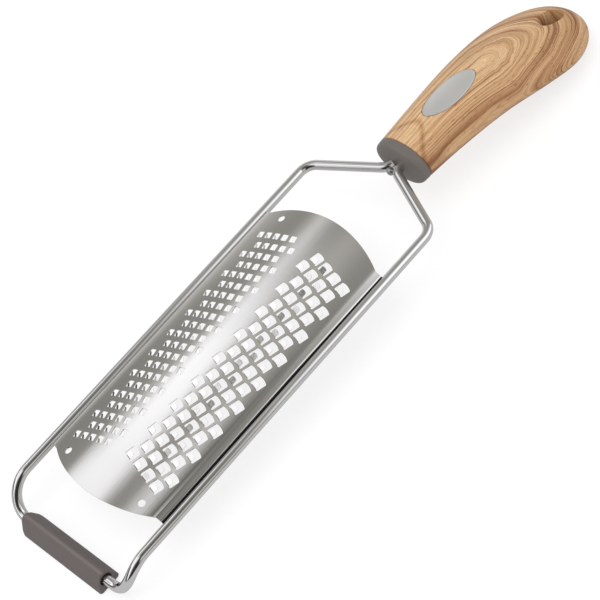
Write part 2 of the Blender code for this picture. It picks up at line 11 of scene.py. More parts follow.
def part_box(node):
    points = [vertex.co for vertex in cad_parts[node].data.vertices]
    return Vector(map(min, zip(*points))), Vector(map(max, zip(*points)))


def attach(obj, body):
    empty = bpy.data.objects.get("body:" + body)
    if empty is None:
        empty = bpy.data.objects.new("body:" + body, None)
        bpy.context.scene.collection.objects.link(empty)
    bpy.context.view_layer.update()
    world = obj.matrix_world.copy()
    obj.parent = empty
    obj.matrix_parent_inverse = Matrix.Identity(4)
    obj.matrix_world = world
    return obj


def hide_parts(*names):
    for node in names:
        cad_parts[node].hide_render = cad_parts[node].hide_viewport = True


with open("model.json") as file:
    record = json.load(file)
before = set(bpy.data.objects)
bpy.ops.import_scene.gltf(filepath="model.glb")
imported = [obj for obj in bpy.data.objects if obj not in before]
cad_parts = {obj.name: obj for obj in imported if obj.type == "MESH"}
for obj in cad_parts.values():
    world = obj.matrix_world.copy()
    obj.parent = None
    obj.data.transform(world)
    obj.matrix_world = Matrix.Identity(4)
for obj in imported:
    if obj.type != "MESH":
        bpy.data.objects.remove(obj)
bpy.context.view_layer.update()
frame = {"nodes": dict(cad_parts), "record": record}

mm = 0.001
gap = 0.3  # left where things touch on the real grater

# Every size is in millimetres, from the middle of the plate: x to the handle, y to the fine teeth, z up

# The wire carries everything, so its rails and the beads under them say where the grater lies
wire = {
    "diameter": 4.0, "spacing": 66.0, "shoulderRoom": 18.35, "shoulderBend": 7.0, "neckReach": 14.8,
    "neckBend": 4.0, "tang": 33.5, "legRoom": 13.75, "legAngle": math.radians(66.5), "legReach": 9.0,
    "footDrop": 11.1, "footReach": 9.3, "legSteps": 40, "bendStep": math.radians(3), "sides": 8,
}
welds = {
    "length": 8.0, "diameter": 1.2, "margin": 22.95, "perSide": 3, "ripples": 7, "rings": 41,
    "rippleDepth": 0.12, "bluntness": 6, "sides": 14, "neckBack": 0.9, "neckSize": (3.0, 3.6, 3.4),
    "neckRings": 19, "neckSides": 24, "neckLumps": 5, "lumpDepth": 0.05,
}
railY = wire["spacing"] / 2
wireRadius = wire["diameter"] / 2
beadRadius = welds["diameter"] / 2
beadY = railY - wireRadius + beadRadius
beadZ = -math.sqrt((wireRadius + gap + beadRadius) ** 2 - (railY - beadY) ** 2)
soleAxis = frame["record"]["mounts"][0]["axis"]
tilt = math.atan2(soleAxis[0], -soleAxis[2])
layDown = Matrix.Rotation(-tilt, 4, "Y")
beadLow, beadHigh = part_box("plate_weld_fine_side_2")
layDown.translation = (beadLow + beadHigh) / 2 - layDown @ (Vector((0, beadY, beadZ)) * mm)
print("frame loaded, the grater leans by", round(math.degrees(tilt), 2), "degrees")


# Modelling helpers


def pickOnly(*pieces):
    bpy.ops.object.select_all(action="DESELECT")
    for piece in pieces:
        piece.select_set(True)
    bpy.context.view_layer.objects.active = pieces[0]


def closeUp(piece):
    pickOnly(piece)
    bpy.ops.object.mode_set(mode="EDIT")
    bpy.ops.mesh.select_all(action="SELECT")
    bpy.ops.mesh.remove_doubles(threshold=0.002)
    bpy.ops.mesh.normals_make_consistent(inside=False)
    bpy.ops.object.mode_set(mode="OBJECT")


# A grid primitive pulled onto rings of points; rings that shrink to a point become poles
def skin(name, rings, closed=True):
    sides = len(rings[0]) if closed else len(rings[0]) - 1
    bpy.ops.object.select_all(action="DESELECT")
    bpy.ops.mesh.primitive_grid_add(x_subdivisions=len(rings) - 1, y_subdivisions=sides, size=1)
    piece = bpy.context.object
    piece.name = piece.data.name = name
    for vert in piece.data.vertices:
        i = round((vert.co.x + 0.5) * (len(rings) - 1))
        j = round((vert.co.y + 0.5) * sides)
        vert.co = rings[i][j % len(rings[i])]
    closeUp(piece)
    return piece


def applyModifiers(piece):
    pickOnly(piece)
    for modifier in list(piece.modifiers):
        bpy.ops.object.modifier_apply(modifier=modifier.name)


def cut(piece, cutter):
    modifier = piece.modifiers.new("cut", "BOOLEAN")
    modifier.operation = "DIFFERENCE"
    modifier.solver = "EXACT"
    modifier.object = cutter
    applyModifiers(piece)
    bpy.data.objects.remove(cutter)


def addObject(name, data):
    piece = bpy.data.objects.new(name, data)
    bpy.context.scene.collection.objects.link(piece)
    return piece


def addSpline(curve, points, closed):
    spline = curve.splines.new("POLY")
    spline.points.add(len(points) - 1)
    for place, point in zip(spline.points, points):
        place.co = (*point, 1)
    spline.use_cyclic_u = closed


def meshFrom(name, curve):
    piece = addObject(name, curve)
    pickOnly(piece)
    bpy.ops.object.convert(target="MESH")
    closeUp(piece)
    return piece


def circleTurns(sides):
    return [2 * math.pi * i / sides for i in range(sides)]


def oval(x, halfWidth, halfHeight, z, sides):
    return [Vector((x, halfWidth * math.cos(a), z + halfHeight * math.sin(a))) for a in circleTurns(sides)]


def spot(x, y):
    return Vector((x, y, 0))


def clampShare(value):
    return max(0.0, min(1.0, value))


def finishPiece(piece, material, node, smoothAngle):
    piece.data.transform(layDown @ Matrix.Scale(mm, 4))
    piece.data.materials.clear()
    piece.data.materials.append(material)
    pickOnly(piece)
    bpy.ops.object.shade_smooth_by_angle(angle=math.radians(smoothAngle))
    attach(piece, "root")
    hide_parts(node)
    print("made", piece.name, len(piece.data.polygons), "faces")
    return piece


# Material helpers


# A node group that takes a place and some numbers, and puts out masks and values
def newGroup(name, inputs, outputs):
    group = bpy.data.node_groups.new(name, "ShaderNodeTree")
    group.interface.new_socket("Place", in_out="INPUT", socket_type="NodeSocketVector")
    for socketName, value in inputs.items():
        socket = group.interface.new_socket(socketName, in_out="INPUT", socket_type="NodeSocketFloat")
        socket.default_value = value
    for socketName in outputs:
        group.interface.new_socket(socketName, in_out="OUTPUT", socket_type="NodeSocketFloat")
    return group, group.nodes.new("NodeGroupInput").outputs, group.nodes.new("NodeGroupOutput")


# Each input gets a link from another node's output, or a plain value
def feed(tree, node, inputs):
    for socket, value in inputs.items():
        if hasattr(value, "is_output"):
            tree.links.new(value, node.inputs[socket])
        else:
            node.inputs[socket].default_value = value


def addNode(tree, kind, inputs=(), **settings):
    node = tree.nodes.new(kind)
    for key, value in settings.items():
        setattr(node, key, value)
    feed(tree, node, dict(inputs))
    return node


def maths(tree, operation, *values, clamp=False):
    return addNode(tree, "ShaderNodeMath", dict(enumerate(values)), operation=operation,
                   use_clamp=clamp).outputs[0]


def plus(tree, first, second):
    return maths(tree, "ADD", first, second)


def minus(tree, first, second):
    return maths(tree, "SUBTRACT", first, second)


def times(tree, first, second):
    return maths(tree, "MULTIPLY", first, second)


def length(tree, first, second):
    return maths(tree, "SQRT", plus(tree, times(tree, first, first), times(tree, second, second)))


# 0 at low and below, 1 at high and above
def rise(tree, value, low, high):
    return maths(tree, "DIVIDE", minus(tree, value, low), high - low, clamp=True)


def ramp(tree, factor, stops):
    node = addNode(tree, "ShaderNodeValToRGB", {"Fac": factor})
    for i, (place, colour) in enumerate(stops):
        shade = (*colour, 1) if isinstance(colour, tuple) else (colour, colour, colour, 1)
        element = node.color_ramp.elements[i] if i < 2 else node.color_ramp.elements.new(place)
        element.position = place
        element.color = shade
    return node.outputs["Color"]


def blendColours(tree, factor, first, second, mode="MIX"):
    first, second = [(*tone, 1) if isinstance(tone, tuple) else tone for tone in (first, second)]
    inputs = {0: factor, 6: first, 7: second}  # 6 and 7 are the node's two colours
    return addNode(tree, "ShaderNodeMix", inputs, data_type="RGBA", blend_type=mode).outputs[2]


def join(tree, x, y, z):
    return addNode(tree, "ShaderNodeCombineXYZ", {"X": x, "Y": y, "Z": z}).outputs[0]


def split(tree, vector):
    parts = addNode(tree, "ShaderNodeSeparateXYZ", {"Vector": vector})
    return parts.outputs["X"], parts.outputs["Y"], parts.outputs["Z"]


def noise(tree, place, scale, detail=2.0, roughness=0.5, output="Fac"):
    inputs = {"Vector": place, "Scale": scale, "Detail": detail, "Roughness": roughness}
    return addNode(tree, "ShaderNodeTexNoise", inputs).outputs[output]


# Object coordinates in millimetres, turned level with the plate, from a chosen point on the grater
def levelPlace(tree, point=(0, 0, 0)):
    inputs = {"Vector": addNode(tree, "ShaderNodeTexCoord").outputs["Object"],
              "Location": layDown @ (Vector(point) * mm), "Rotation": (0, -tilt, 0), "Scale": (mm, mm, mm)}
    return addNode(tree, "ShaderNodeMapping", inputs, vector_type="TEXTURE").outputs[0]


# Painted shade for the gap by the coarse rail: a near-black tone, with more roughness there
groupLook = {
    "lineShare": 0.7, "lineDetail": (3.0, 0.6), "lineClouds": 0.06, "grainDetail": (2.0, 0.6),
    "grainClouds": 0.12, "shadePaintTone": (0.07, 0.07, 0.07), "shadePaintRough": 0.6,
}
bumpHeight = {"steel": 0.00002, "plastic": 0.00004, "wood": 0.00003}  # metres


# Roughness from a group's low input to its high one
def roughBetween(group, start, share):
    span = minus(group, start["Rough High"], start["Rough Low"])
    return plus(group, start["Rough Low"], times(group, share, span))


# Long fine scratches along x with a little cloudiness
def makeBrushMarks():
    group, start, end = newGroup(
        "brushMarks", {"Stretch": 0.02, "Fineness": 3.0, "Rough Low": 0.2, "Rough High": 0.3},
        ("Marks", "Roughness", "Clouds"))
    x, y, z = split(group, start["Place"])
    along, across = times(group, x, start["Stretch"]), times(group, y, start["Fineness"])
    depth = times(group, z, start["Fineness"])
    lines = noise(group, join(group, along, across, depth), 1.0, *groupLook["lineDetail"])
    clouds = noise(group, start["Place"], groupLook["lineClouds"])
    mixed = plus(group, times(group, lines, groupLook["lineShare"]),
                 times(group, clouds, 1 - groupLook["lineShare"]))
    rough = roughBetween(group, start, mixed)
    feed(group, end, {"Marks": lines, "Roughness": rough, "Clouds": clouds})
    return group


# Fine pitted skin of moulded plastic, with faint broad unevenness
def makeMouldedSkin():
    group, start, end = newGroup(
        "mouldedSkin", {"Grain Size": 4.0, "Rough Low": 0.5, "Rough High": 0.6},
        ("Grain", "Roughness", "Clouds"))
    grain = noise(group, start["Place"], start["Grain Size"], *groupLook["grainDetail"])
    clouds = noise(group, start["Place"], groupLook["grainClouds"])
    rough = roughBetween(group, start, clouds)
    feed(group, end, {"Grain": grain, "Roughness": rough, "Clouds": clouds})
    return group


# Painted shade: 1 in the narrow gap between the plate's lip and the rail on the coarse side, where
# shade falls: from a distance off the middle, to another, below a height and along so far from the middle
def makeGapShadePaint():
    group, start, end = newGroup(
        "gapShadePaint", {"From Clean": 29.0, "From Full": 30.0, "To Clean": 36.0, "To Full": 35.0,
                     "Below Clean": 20.0, "Below Full": 19.0, "Along Clean": 80.0, "Along Full": 79.0},
        ("Painted Shade",))
    x, y, z = split(group, start["Place"])
    coarseWards, along = times(group, y, -1.0), maths(group, "ABSOLUTE", x)
    mask = 1.0
    for limit, value in (("From", coarseWards), ("To", coarseWards), ("Below", z), ("Along", along)):
        clean, full = start[limit + " Clean"], start[limit + " Full"]
        share = maths(group, "DIVIDE", minus(group, value, clean), minus(group, full, clean), clamp=True)
        mask = times(group, mask, share)
    feed(group, end, {"Painted Shade": mask})
    return group


brushMarks = makeBrushMarks()
mouldedSkin = makeMouldedSkin()
gapShadePaint = makeGapShadePaint()


def newMaterial(name, metallic=0.0, specular=0.5):
    material = bpy.data.materials.new(name)
    material.use_nodes = True
    tree = material.node_tree
    shader = tree.nodes["Principled BSDF"]
    feed(tree, shader, {"Metallic": metallic, "Specular IOR Level": specular})
    return material, tree, shader


def useGroup(tree, group, values):
    inputs = {"Place": levelPlace(tree), **values}
    return addNode(tree, "ShaderNodeGroup", inputs, node_tree=group).outputs


def bump(tree, shader, height, strength, distance):
    node = addNode(tree, "ShaderNodeBump", {"Height": height, "Strength": strength, "Distance": distance})
    feed(tree, shader, {"Normal": node.outputs["Normal"]})
    return node


def steelMaterial(look):
    material, tree, shader = newMaterial(look["name"], metallic=look.get("metallic", 1.0))
    low, high = look["rough"]
    marks = useGroup(tree, brushMarks, {"Stretch": look["stretch"], "Fineness": look["fineness"],
                                        "Rough Low": low, "Rough High": high})
    tone = blendColours(tree, marks["Clouds"], look["dark"], look["light"])
    rough = marks["Roughness"]
    # Painted shade: the gap between the coarse lip and its rail is darkened to near black
    if "paintedGapShade" in look:
        paintedGapShade = useGroup(tree, gapShadePaint, look["paintedGapShade"])["Painted Shade"]
        tone = blendColours(tree, paintedGapShade, tone, groupLook["shadePaintTone"])
        rough = plus(tree, rough, times(tree, paintedGapShade, groupLook["shadePaintRough"]))
    if "toothRough" in look:
        along, _, _ = split(tree, addNode(tree, "ShaderNodeNewGeometry").outputs["Normal"])
        onTooth = rise(tree, maths(tree, "ABSOLUTE", along), *look["toothFrom"])
        change = times(tree, onTooth, minus(tree, look["toothRough"], rough))
        rough = plus(tree, rough, change)
    feed(tree, shader, {"Base Color": tone, "Roughness": rough})
    relief = bump(tree, shader, marks["Marks"], look["markDepth"], bumpHeight["steel"])
    if "lean" in look:
        leanNormal(tree, relief, look)
    return material


# The rolled sheet mirrors the room a little nearer the foot than its outline says, up to its bent rims
def leanNormal(tree, relief, look):
    _, across, _ = split(tree, levelPlace(tree))
    inside = minus(tree, look["leanWidth"], maths(tree, "ABSOLUTE", across))
    amount = times(tree, maths(tree, "DIVIDE", inside, look["leanFade"], clamp=True), -look["lean"])
    normal = addNode(tree, "ShaderNodeNewGeometry").outputs["Normal"]
    shift = join(tree, amount, 0.0, 0.0)
    leaned = addNode(tree, "ShaderNodeVectorMath", {0: normal, 1: shift}, operation="ADD")
    unit = addNode(tree, "ShaderNodeVectorMath", {0: leaned.outputs[0]}, operation="NORMALIZE")
    feed(tree, relief, {"Normal": unit.outputs[0]})


def plasticMaterial(look):
    material, tree, shader = newMaterial(look["name"])
    low, high = look["rough"]
    grain = useGroup(tree, mouldedSkin, {"Grain Size": look["grainSize"], "Rough Low": low,
                                         "Rough High": high})
    tone = blendColours(tree, grain["Clouds"], look["dark"], look["light"])
    if "ridge" in look:  # painted highlight: a little paler along it
        ridge = look["ridge"]
        x, _, z = split(tree, levelPlace(tree, ridge["point"]))
        ridgeHighlight = rise(tree, maths(tree, "ABSOLUTE", x), *ridge["across"])
        ridgeHighlight = times(tree, ridgeHighlight, rise(tree, z, *ridge["above"]))
        tone = blendColours(tree, ridgeHighlight, tone, ridge["tone"])
    feed(tree, shader, {"Base Color": tone, "Roughness": grain["Roughness"]})
    bump(tree, shader, grain["Grain"], look["grainDepth"], bumpHeight["plastic"])
    return material


print("material groups ready")


# Plate: one sheet, punched flat, then bent over an arch with a lip down each side

sheet = {
    "thickness": 0.5, "topHeight": 0.4, "length": 137.9, "bulge": 7.65, "endBowWidth": 56.8,
    "archHeight": 6.2, "archRadius": 94.9, "archStrips": 56, "lipBend": 1.2, "lipStrips": 8, "lipDrop": 2.6,
    "cornerCut": 0.8, "endSteps": 72, "lipGap": 0.1, "undercut": 0.15, "undercutReach": 0.8,
    "holeDiameter": 3.0, "holeMargin": 8.48, "holeAcross": 20.66, "holeSides": 24,
    "rimDroop": 0.045, "droopBand": (26.0, 30.0), "droopRun": (15.0, 65.0), "droopSide": -1,
}
plateSteel = {
    "name": "brushedPlateSteel", "light": (0.80, 0.79, 0.775), "dark": (0.76, 0.75, 0.73),
    "rough": (0.08, 0.14), "toothRough": 0.03, "toothFrom": (0.15, 0.25), "stretch": 0.03,
    "fineness": 3.5, "markDepth": 0.45,
    "lean": 0.052, "leanWidth": 29.5, "leanFade": 3.0,
    # Painted shade in the gap by the coarse rail, on the plate's lip
    "paintedGapShade": {"From Clean": 30.3, "From Full": 30.5},
}
coarse = {
    "rows": 18, "perRow": 4, "firstX": 52.57, "firstS": -6.99, "stepX": -1.511, "stepS": -5.486,
    "rowX": -5.201, "rowS": 2.744, "turn": math.radians(-15.4), "length": 4.5, "width": 4.7,
    "bow": 0.5, "bowPower": 2.2, "bowWidth": 0.97, "bowSteps": 3, "corner": 0.35,
    "tooth": {"name": "coarseTooth", "reach": 2.3, "root": 2.7, "tip": 2.6, "low": -0.1, "rise": 0.475,
              "roundTip": 0.3, "along": 5, "across": 6, "wall": 0.15},
}
fine = {
    "rows": 21, "perRow": 5, "firstX": 50.9, "firstS": 23.6, "stepX": 0.936, "stepS": -3.9,
    "rowX": -5.2135, "staggerX": 0.69, "staggerS": -3.055, "turn": math.radians(13.5),
    "length": 3.0, "width": 2.8, "corner": 0.3,
    "tooth": {"name": "fineTooth", "reach": 1.4, "root": 1.0, "tip": 0.7, "low": 0.0, "rise": 0.66,
              "roundTip": 0.1, "along": 4, "across": 4, "wall": 0.15},
}
plateEnd = sheet["length"] / 2
lipY = railY - wireRadius - sheet["lipGap"] - sheet["topHeight"]


# Turn, length and strips of each stretch of the section, from the middle of the plate to a lip
def sectionStretches():
    quarter = math.pi / 2
    angle = math.asin((lipY - sheet["lipBend"]) / (sheet["archRadius"] - sheet["lipBend"]))
    archFall = sheet["archRadius"] * (1 - math.cos(angle))
    lipLength = sheet["archHeight"] - archFall - sheet["lipBend"] * math.cos(angle) + sheet["lipDrop"]
    return [(angle, sheet["archRadius"] * angle, sheet["archStrips"] // 2),
            (quarter - angle, sheet["lipBend"] * (quarter - angle), sheet["lipStrips"]),
            (0.0, lipLength, 1)]


stretches = sectionStretches()


# Towards the handle one rim hangs a little
def rimFall(flat):
    low, high = sheet["droopBand"]
    start, end = sheet["droopRun"]
    inRim = min(abs(flat.y), high) - low
    if inRim <= 0 or flat.y * sheet["droopSide"] < 0:
        return 0.0
    return sheet["rimDroop"] * inRim ** 2 * clampShare((flat.x - start) / (end - start))


# Where a point of the flat blank goes on the bent plate
def bentPoint(flat):
    sideSign = 1 if flat.y >= 0 else -1
    left, y, z, slope = abs(flat.y), 0.0, sheet["archHeight"], 0.0
    for turn, stretch, _ in stretches:
        run = min(left, stretch)
        if turn:
            radius = stretch / turn
            after = slope + run / radius
            y += radius * (math.sin(after) - math.sin(slope))
            z -= radius * (math.cos(slope) - math.cos(after))
            slope = after
        else:
            y += run * math.cos(slope)
            z -= run * math.sin(slope)
        left -= run
        if left <= 0:
            break
    y += left * math.cos(slope) + math.sin(slope) * flat.z
    z += -left * math.sin(slope) + math.cos(slope) * flat.z
    return Vector((flat.x, sideSign * y, z - rimFall(flat)))


def coarsePlaces():
    for row in range(coarse["rows"]):
        for i in range(row // 2, row // 2 + coarse["perRow"]):
            x = coarse["firstX"] + i * coarse["stepX"] + row * coarse["rowX"]
            s = coarse["firstS"] + i * coarse["stepS"] + row * coarse["rowS"]
            yield spot(x, s)


def finePlaces():
    for row in range(fine["rows"]):
        for i in range(fine["perRow"]):
            odd = row % 2
            x = fine["firstX"] + i * fine["stepX"] + row * fine["rowX"] + odd * fine["staggerX"]
            s = fine["firstS"] + i * fine["stepS"] + odd * fine["staggerS"]
            yield spot(x, s)


# The fourth corner has no hole
def cornerPlaces():
    for end, side in ((1, 1), (-1, 1), (-1, -1)):
        yield spot(end * (plateEnd - sheet["holeMargin"]), side * sheet["holeAcross"])


# Corners of an outline rounded by a radius, three points to a corner
def softCorners(corners, radius):
    points = []
    for i, corner in enumerate(corners):
        before, after = corners[i - 1], corners[(i + 1) % len(corners)]
        start = corner + (before - corner).normalized() * radius
        end = corner + (after - corner).normalized() * radius
        points += [start, (start + end + corner * 2) / 4, end]
    return points


# Square at the foot side, bowed at the handle side
def coarseOutline():
    back, front, side = -coarse["length"] / 2, coarse["length"] / 2, coarse["width"] / 2
    square = [spot(front - coarse["bow"], side), spot(back, side),
              spot(back, -side), spot(front - coarse["bow"], -side)]
    soft = softCorners(square, coarse["corner"])[2:-2]
    bowed = []
    for i in range(-coarse["bowSteps"], coarse["bowSteps"] + 1):
        share = i / coarse["bowSteps"]
        x = front - coarse["bow"] * abs(share) ** coarse["bowPower"]
        bowed.append(spot(x, side * share * coarse["bowWidth"]))
    return soft + bowed


def fineOutline():
    end, side = fine["length"] / 2, fine["width"] / 2
    corners = [spot(end * x, side * y) for x, y in ((1, 1), (-1, 1), (-1, -1), (1, -1))]
    return softCorners(corners, fine["corner"])


def cornerOutline():
    radius = sheet["holeDiameter"] / 2
    return [spot(math.cos(a), math.sin(a)) * radius for a in circleTurns(sheet["holeSides"])]


# Each end bows out between two straight stretches, and the lips' corners are cut off
def blankOutline():
    edgeS = sum(stretch for _, stretch, _ in stretches)
    halfBow = sheet["endBowWidth"] / 2
    bowRadius = (halfBow ** 2 + sheet["bulge"] ** 2) / (2 * sheet["bulge"])
    bowAngle = math.asin(halfBow / bowRadius)
    cornerX = plateEnd - sheet["bulge"]
    end = [spot(cornerX - sheet["cornerCut"], -edgeS),
           spot(cornerX, -edgeS + sheet["cornerCut"])]
    for i in range(sheet["endSteps"] + 1):
        turn = bowAngle * (2 * i / sheet["endSteps"] - 1)
        end.append(spot(plateEnd - bowRadius * (1 - math.cos(turn)), bowRadius * math.sin(turn)))
    end += [spot(point.x, -point.y) for point in reversed(end[:2])]
    return end + [spot(-point.x, -point.y) for point in end]


def turned(points, centre, angle):
    turn = Matrix.Rotation(angle, 3, "Z")
    return [centre + turn @ point for point in points]


# Every hole is a little wider underneath, as a punched or etched one is
def undercutHoles(plate):
    places = [(centre, coarse["width"]) for centre in coarsePlaces()]
    places += [(centre, fine["width"]) for centre in finePlaces()]
    tree = KDTree(len(places))
    for i, (centre, _) in enumerate(places):
        tree.insert(centre, i)
    tree.balance()
    for vert in plate.data.vertices:
        flat = spot(vert.co.x, vert.co.y)
        centre, i, distance = tree.find(flat)
        if vert.co.z < 0 and distance < places[i][1] * sheet["undercutReach"]:
            vert.co += (flat - centre).normalized() * sheet["undercut"]


# A tooth is a tongue bent up out of its hole, from the foot side towards the handle
def toothShape(hole):
    tooth = hole["tooth"]
    rings = []
    for i in range(tooth["along"] + 1):
        share = i / tooth["along"]
        halfWidth = (tooth["root"] + (tooth["tip"] - tooth["root"]) * share) / 2
        ring = []
        for j in range(tooth["across"] + 1):
            across = 2 * j / tooth["across"] - 1
            run = (tooth["reach"] + tooth["wall"]) * share - tooth["roundTip"] * across ** 2 * share ** 3
            height = tooth["low"] + tooth["rise"] * run
            ring.append(Vector((run - hole["length"] / 2 - tooth["wall"], halfWidth * across, height)))
        rings.append(ring)
    piece = skin(tooth["name"], rings, closed=False)
    wall = piece.modifiers.new("wall", "SOLIDIFY")
    wall.thickness = tooth["wall"]
    wall.offset = 0
    applyModifiers(piece)
    return piece


def copyTeeth(hole, places):
    master = toothShape(hole)
    copies = []
    for centre in places:
        copy = addObject(master.name, master.data.copy())
        slope = Matrix.Rotation(-centre.y / sheet["archRadius"], 4, "X")
        turn = Matrix.Rotation(hole["turn"], 4, "Z")
        copy.data.transform(Matrix.Translation(bentPoint(centre)) @ slope @ turn)
        copies.append(copy)
    bpy.data.objects.remove(master)
    return copies


def makePlate():
    curve = bpy.data.curves.new("plateBlank", "CURVE")
    curve.dimensions = "2D"
    curve.fill_mode = "BOTH"
    curve.extrude = sheet["thickness"] / 2
    addSpline(curve, blankOutline(), True)
    for places, outline, angle in ((coarsePlaces(), coarseOutline(), coarse["turn"]),
                                   (finePlaces(), fineOutline(), fine["turn"]),
                                   (cornerPlaces(), cornerOutline(), 0)):
        for centre in places:
            addSpline(curve, turned(outline, centre, angle), True)
    plate = meshFrom("graterSheet", curve)
    undercutHoles(plate)

    ends, start = [], 0.0
    for _, stretch, strips in stretches:
        ends += [start + stretch * (i + 1) / strips for i in range(strips)]
        start += stretch
    bpy.ops.object.mode_set(mode="EDIT")
    for s in [0.0] + ends[:-1] + [-end for end in ends[:-1]]:
        bpy.ops.mesh.select_all(action="SELECT")
        bpy.ops.mesh.bisect(plane_co=(0, s, 0), plane_no=(0, 1, 0), threshold=0.001)
    bpy.ops.object.mode_set(mode="OBJECT")

    plate.data.transform(Matrix.Translation((0, 0, sheet["topHeight"] - sheet["thickness"] / 2)))
    for vert in plate.data.vertices:
        vert.co = bentPoint(vert.co)
    teeth = copyTeeth(coarse, coarsePlaces()) + copyTeeth(fine, finePlaces())
    pickOnly(plate, *teeth)
    bpy.ops.object.join()
    return finishPiece(plate, steelMaterial(plateSteel), "grater_plate", smoothAngle=28)


makePlate()


# Wire frame: one wire, bent in three dimensions, the same on both sides

wireSteel = {
    "name": "drawnWireSteel", "light": (0.82, 0.815, 0.81), "dark": (0.76, 0.755, 0.75),
    "rough": (0.07, 0.14), "stretch": 0.05, "fineness": 2.0, "markDepth": 0.1,
    # Painted shade in the gap by the coarse rail, on the wire's inner side
    "paintedGapShade": {"To Clean": 31.9, "To Full": 31.6, "Below Clean": 1.8, "Below Full": 1.5,
              "Along Clean": 69.5, "Along Full": 68.5},
}
shoulderX = plateEnd + wire["shoulderRoom"]
neckX = shoulderX + wire["neckReach"]
legX = -(plateEnd + wire["legRoom"])
barX = legX - wire["footDrop"] / math.tan(wire["legAngle"])
tangY = (wire["diameter"] + gap) / 2


def roundedPath(corners, bends):
    path = [corners[0]]
    for before, corner, after, bend in zip(corners, corners[1:], corners[2:], bends):
        arrive, leave = (corner - before).normalized(), (after - corner).normalized()
        turn = arrive.angle(leave)
        axis = arrive.cross(leave).normalized()
        start = corner - arrive * bend * math.tan(turn / 2)
        centre = start + axis.cross(arrive) * bend
        steps = math.ceil(turn / wire["bendStep"])
        path += [centre + Matrix.Rotation(turn * i / steps, 3, axis) @ (start - centre)
                 for i in range(steps + 1)]
    path.append(corners[-1])
    return path


def makeWire():
    legStart = spot(legX + wire["legReach"], railY)
    legEnd = Vector((barX, railY - wire["footReach"], -wire["footDrop"]))
    legBends = spot(legX, railY), Vector((barX, railY, -wire["footDrop"]))
    front = [spot(neckX + wire["tang"], tangY), spot(neckX, tangY),
             spot(shoulderX, railY), legStart]
    half = roundedPath(front, (wire["neckBend"], wire["shoulderBend"]))[:-1]
    half += interpolate_bezier(legStart, *legBends, legEnd, wire["legSteps"])
    points = half + [Vector((point.x, -point.y, point.z)) for point in reversed(half)]
    curve = bpy.data.curves.new("frameWire", "CURVE")
    curve.dimensions = "3D"
    curve.bevel_depth = wireRadius
    curve.bevel_resolution = wire["sides"]
    curve.use_fill_caps = True
    addSpline(curve, points, False)
    piece = meshFrom("bentWireFrame", curve)
    return finishPiece(piece, steelMaterial(wireSteel), "frame_wire", smoothAngle=50)


makeWire()


# Welds: three rippled beads under each rail and one between the wires at the neck

weldSteel = {
    "name": "weldSteel", "light": (0.55, 0.53, 0.51), "dark": (0.38, 0.36, 0.34),
    "rough": (0.3, 0.5), "stretch": 0.8, "fineness": 1.5, "markDepth": 0.6,
}
weldMaterial = steelMaterial(weldSteel)


def makePlateWelds():
    pitch = (sheet["length"] - 2 * welds["margin"]) / (welds["perSide"] - 1)
    for sideSign, sideName in ((1, "fine"), (-1, "coarse")):
        for k in range(welds["perSide"]):
            middle = (k - (welds["perSide"] - 1) / 2) * pitch
            rings = []
            for i in range(welds["rings"]):
                along = 2 * i / (welds["rings"] - 1) - 1
                belly = math.sqrt(max(0.0, 1 - abs(along) ** welds["bluntness"]))
                wave = abs(math.sin(math.pi * welds["ripples"] * (along + 1) / 2))
                radius = beadRadius * belly * (1 - welds["rippleDepth"] * wave)
                x = middle + along * welds["length"] / 2
                rings.append([point + spot(0, sideSign * beadY)
                              for point in oval(x, radius, radius, beadZ, welds["sides"])])
            bead = skin(f"weldBead_{sideName}_{k + 1}", rings)
            node = f"plate_weld_{sideName}_side_{k + 1}"
            finishPiece(bead, weldMaterial, node, smoothAngle=60)


def makeNeckWeld():
    halfLength, halfWidth, halfHeight = (size / 2 for size in welds["neckSize"])
    rings = []
    for i in range(welds["neckRings"]):
        turn = math.pi * i / (welds["neckRings"] - 1)
        belly = math.sin(turn) * (1 + welds["lumpDepth"] * math.sin(welds["neckLumps"] * turn))
        x = neckX - welds["neckBack"] - halfLength * math.cos(turn)
        rings.append(oval(x, halfWidth * belly, halfHeight * math.sin(turn), 0.0, welds["neckSides"]))
    bead = skin("neckWeldBead", rings)
    finishPiece(bead, weldMaterial, "neck_weld", smoothAngle=70)


makePlateWelds()
makeNeckWeld()


# Foot: a moulded sleeve with an A-shaped section on the cross bar

foot = {
    "heights": (-4.95, -4.15, -1.55, 2.5, 3.65, 4.3), "halfWidths": (4.25, 5.0, 4.4, 2.6, 1.65, 0.6),
    "length": 45.2, "offset": 2.6, "openEdge": 0.4, "chamfer": 1.1, "endShare": 0.8,
    "recessWidth": 5.3, "recessDepth": 3.0, "recessTaper": 0.8, "overrun": 1.0, "recessSides": 32,
    "bevel": 0.22, "bevelSegments": 3, "bevelAngle": math.radians(14),
}
footRubber = {
    "name": "softGreyFoot", "light": (0.118, 0.099, 0.095), "dark": (0.106, 0.088, 0.085),
    "rough": (0.55, 0.7), "grainSize": 6.0, "grainDepth": 0.5,
    # A painted highlight: a paler tone along the top ridge of the foot
    "ridge": {"point": (barX, 0, -wire["footDrop"]), "across": (0.75, 0.45),
              "above": (3.2, 3.7), "tone": (0.145, 0.124, 0.12)},
}


